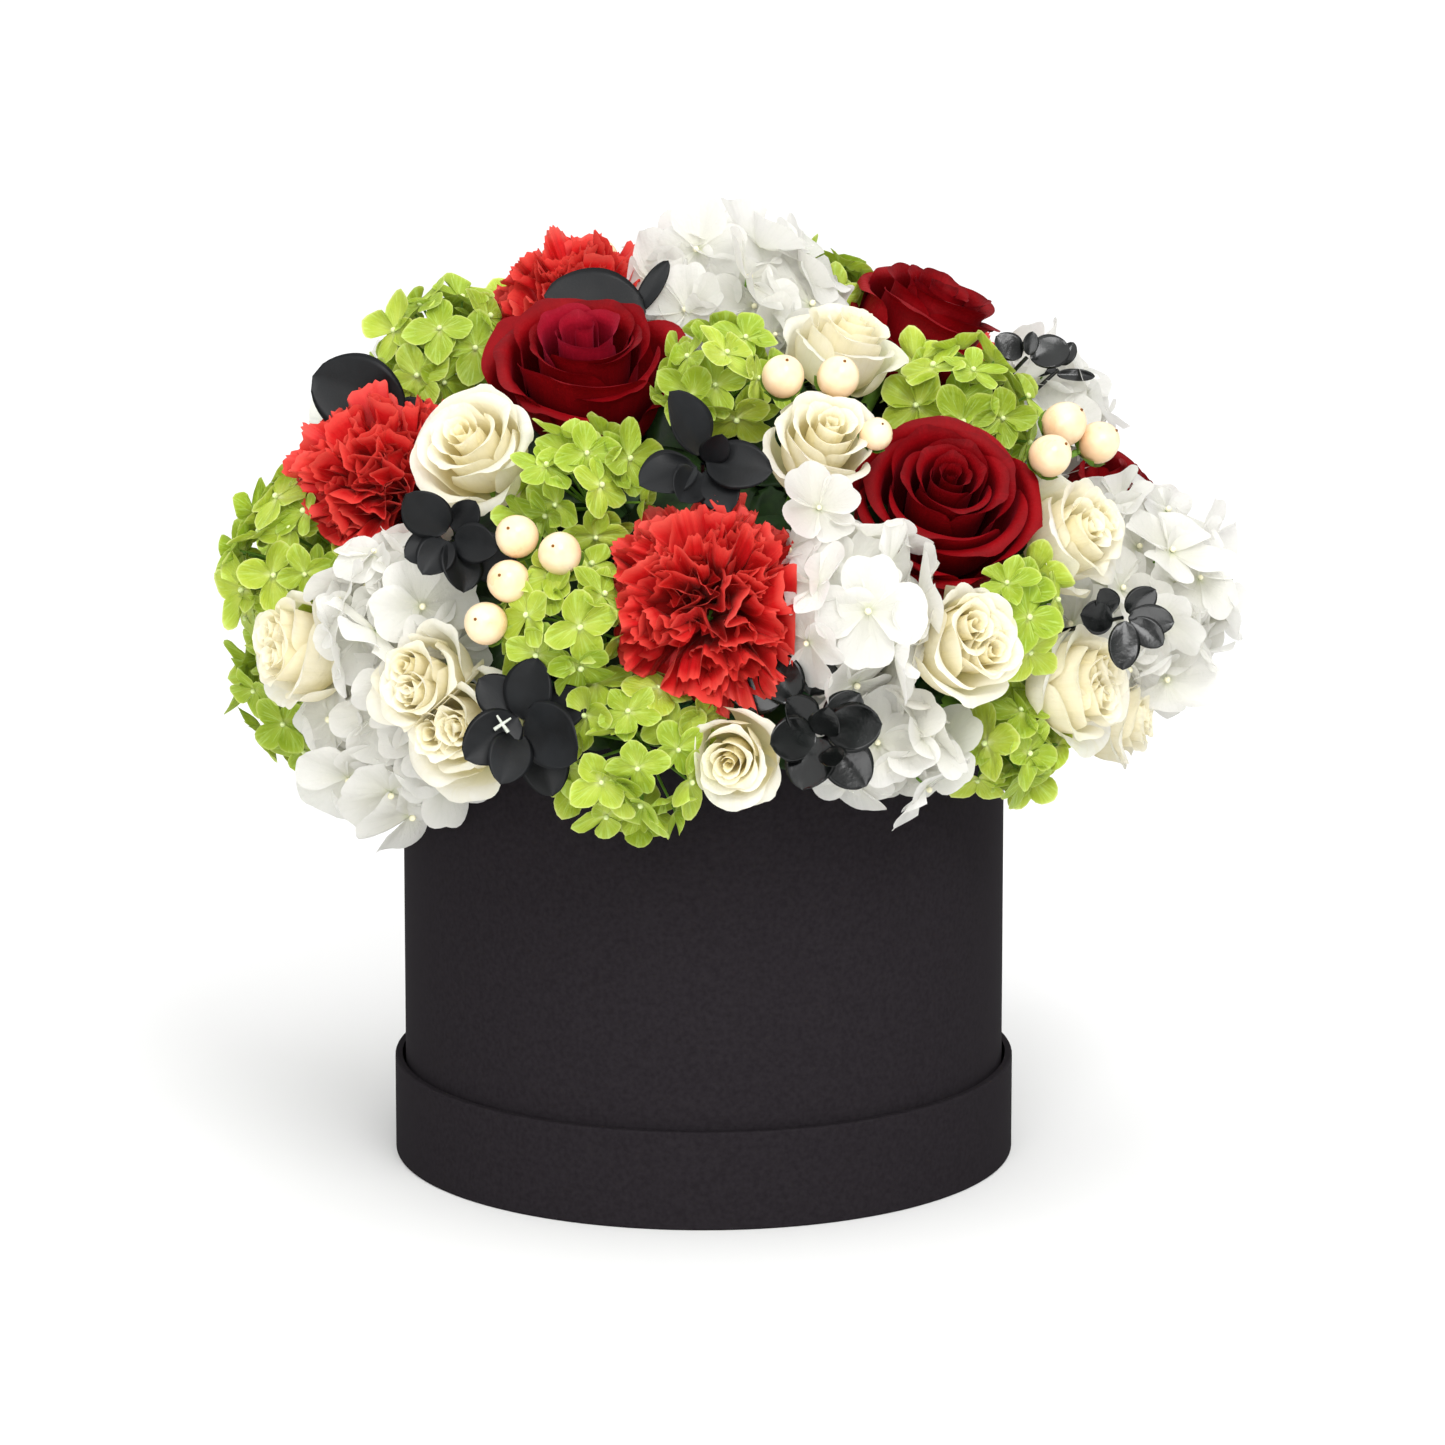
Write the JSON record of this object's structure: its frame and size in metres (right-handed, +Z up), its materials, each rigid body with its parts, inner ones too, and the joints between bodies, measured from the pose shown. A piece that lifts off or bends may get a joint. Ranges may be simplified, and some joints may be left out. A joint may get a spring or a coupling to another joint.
{
  "type": "flower box",
  "caption": "Round black covered-board flower box standing in its own upturned lid, with a plastic liner, wet foam and a dome of mixed cut flowers.",
  "frame": {"origin": "centre of the face that rests on the table, on the axis of the box", "axes": "+Z up along the axis of the box; -Y is the front"},
  "size_m": [0.3336, 0.3219, 0.3195],
  "materials": {
    "black_paper": "matte",
    "grey_board": "matte",
    "liner_plastic": "satin",
    "floral_foam": "matte",
    "stems": "matte",
    "rose_petals": "matte",
    "carnation_petals": "matte",
    "spray_rose_petals": "matte",
    "white_hydrangea_petals": "matte",
    "green_hydrangea_petals": "matte",
    "berries": "gloss",
    "black_leaves": "satin"
  },
  "bodies": {
    "lid": {"lid_panel": "grey_board", "lid_panel_paper": "black_paper", "lid_rim": "grey_board", "lid_rim_paper": "black_paper"},
    "box": {"box_base": "grey_board", "box_wall": "grey_board", "box_wall_paper": "black_paper"},
    "arrangement": {"carnation_stems": "stems", "eucalyptus_1": "black_leaves", "eucalyptus_2": "black_leaves", "eucalyptus_3": "black_leaves", "eucalyptus_4": "black_leaves", "eucalyptus_5": "black_leaves", "eucalyptus_6": "black_leaves", "eucalyptus_7": "black_leaves", "foam": "floral_foam", "green_hydrangea_1": "green_hydrangea_petals", "green_hydrangea_2": "green_hydrangea_petals", "green_hydrangea_3": "green_hydrangea_petals", "green_hydrangea_4": "green_hydrangea_petals", "green_hydrangea_5": "green_hydrangea_petals", "green_hydrangea_6": "green_hydrangea_petals", "green_hydrangea_7": "green_hydrangea_petals", "green_hydrangea_8": "green_hydrangea_petals", "green_hydrangea_9": "green_hydrangea_petals", "hydrangea_stems": "stems", "hypericum_1": "berries", "hypericum_2": "berries", "hypericum_3": "berries", "hypericum_4": "berries", "hypericum_stems": "stems", "liner": "liner_plastic", "red_carnation_1": "carnation_petals", "red_carnation_2": "carnation_petals", "red_carnation_3": "carnation_petals", "red_carnation_4": "carnation_petals", "red_carnation_5": "carnation_petals", "red_rose_1": "rose_petals", "red_rose_2": "rose_petals", "red_rose_3": "rose_petals", "red_rose_4": "rose_petals", "red_rose_5": "rose_petals", "red_rose_6": "rose_petals", "rose_stems": "stems", "spray_rose_1": "spray_rose_petals", "spray_rose_2": "spray_rose_petals", "spray_rose_3": "spray_rose_petals", "spray_rose_4": "spray_rose_petals", "spray_rose_5": "spray_rose_petals", "spray_rose_6": "spray_rose_petals", "spray_rose_7": "spray_rose_petals", "spray_rose_stems": "stems", "white_hydrangea_1": "white_hydrangea_petals", "white_hydrangea_2": "white_hydrangea_petals", "white_hydrangea_3": "white_hydrangea_petals", "white_hydrangea_4": "white_hydrangea_petals", "white_hydrangea_5": "white_hydrangea_petals", "white_hydrangea_6": "white_hydrangea_petals", "white_hydrangea_7": "white_hydrangea_petals"}
  },
  "joints": [
    {"name": "box_lift", "type": "slide", "parent": "lid", "child": "box", "axis": [0, 0, 1], "range_m": [0, 0.055]},
    {"name": "liner_lift", "type": "slide", "parent": "box", "child": "arrangement", "axis": [0, 0, 1], "range_m": [0, 0.165]}
  ]
}
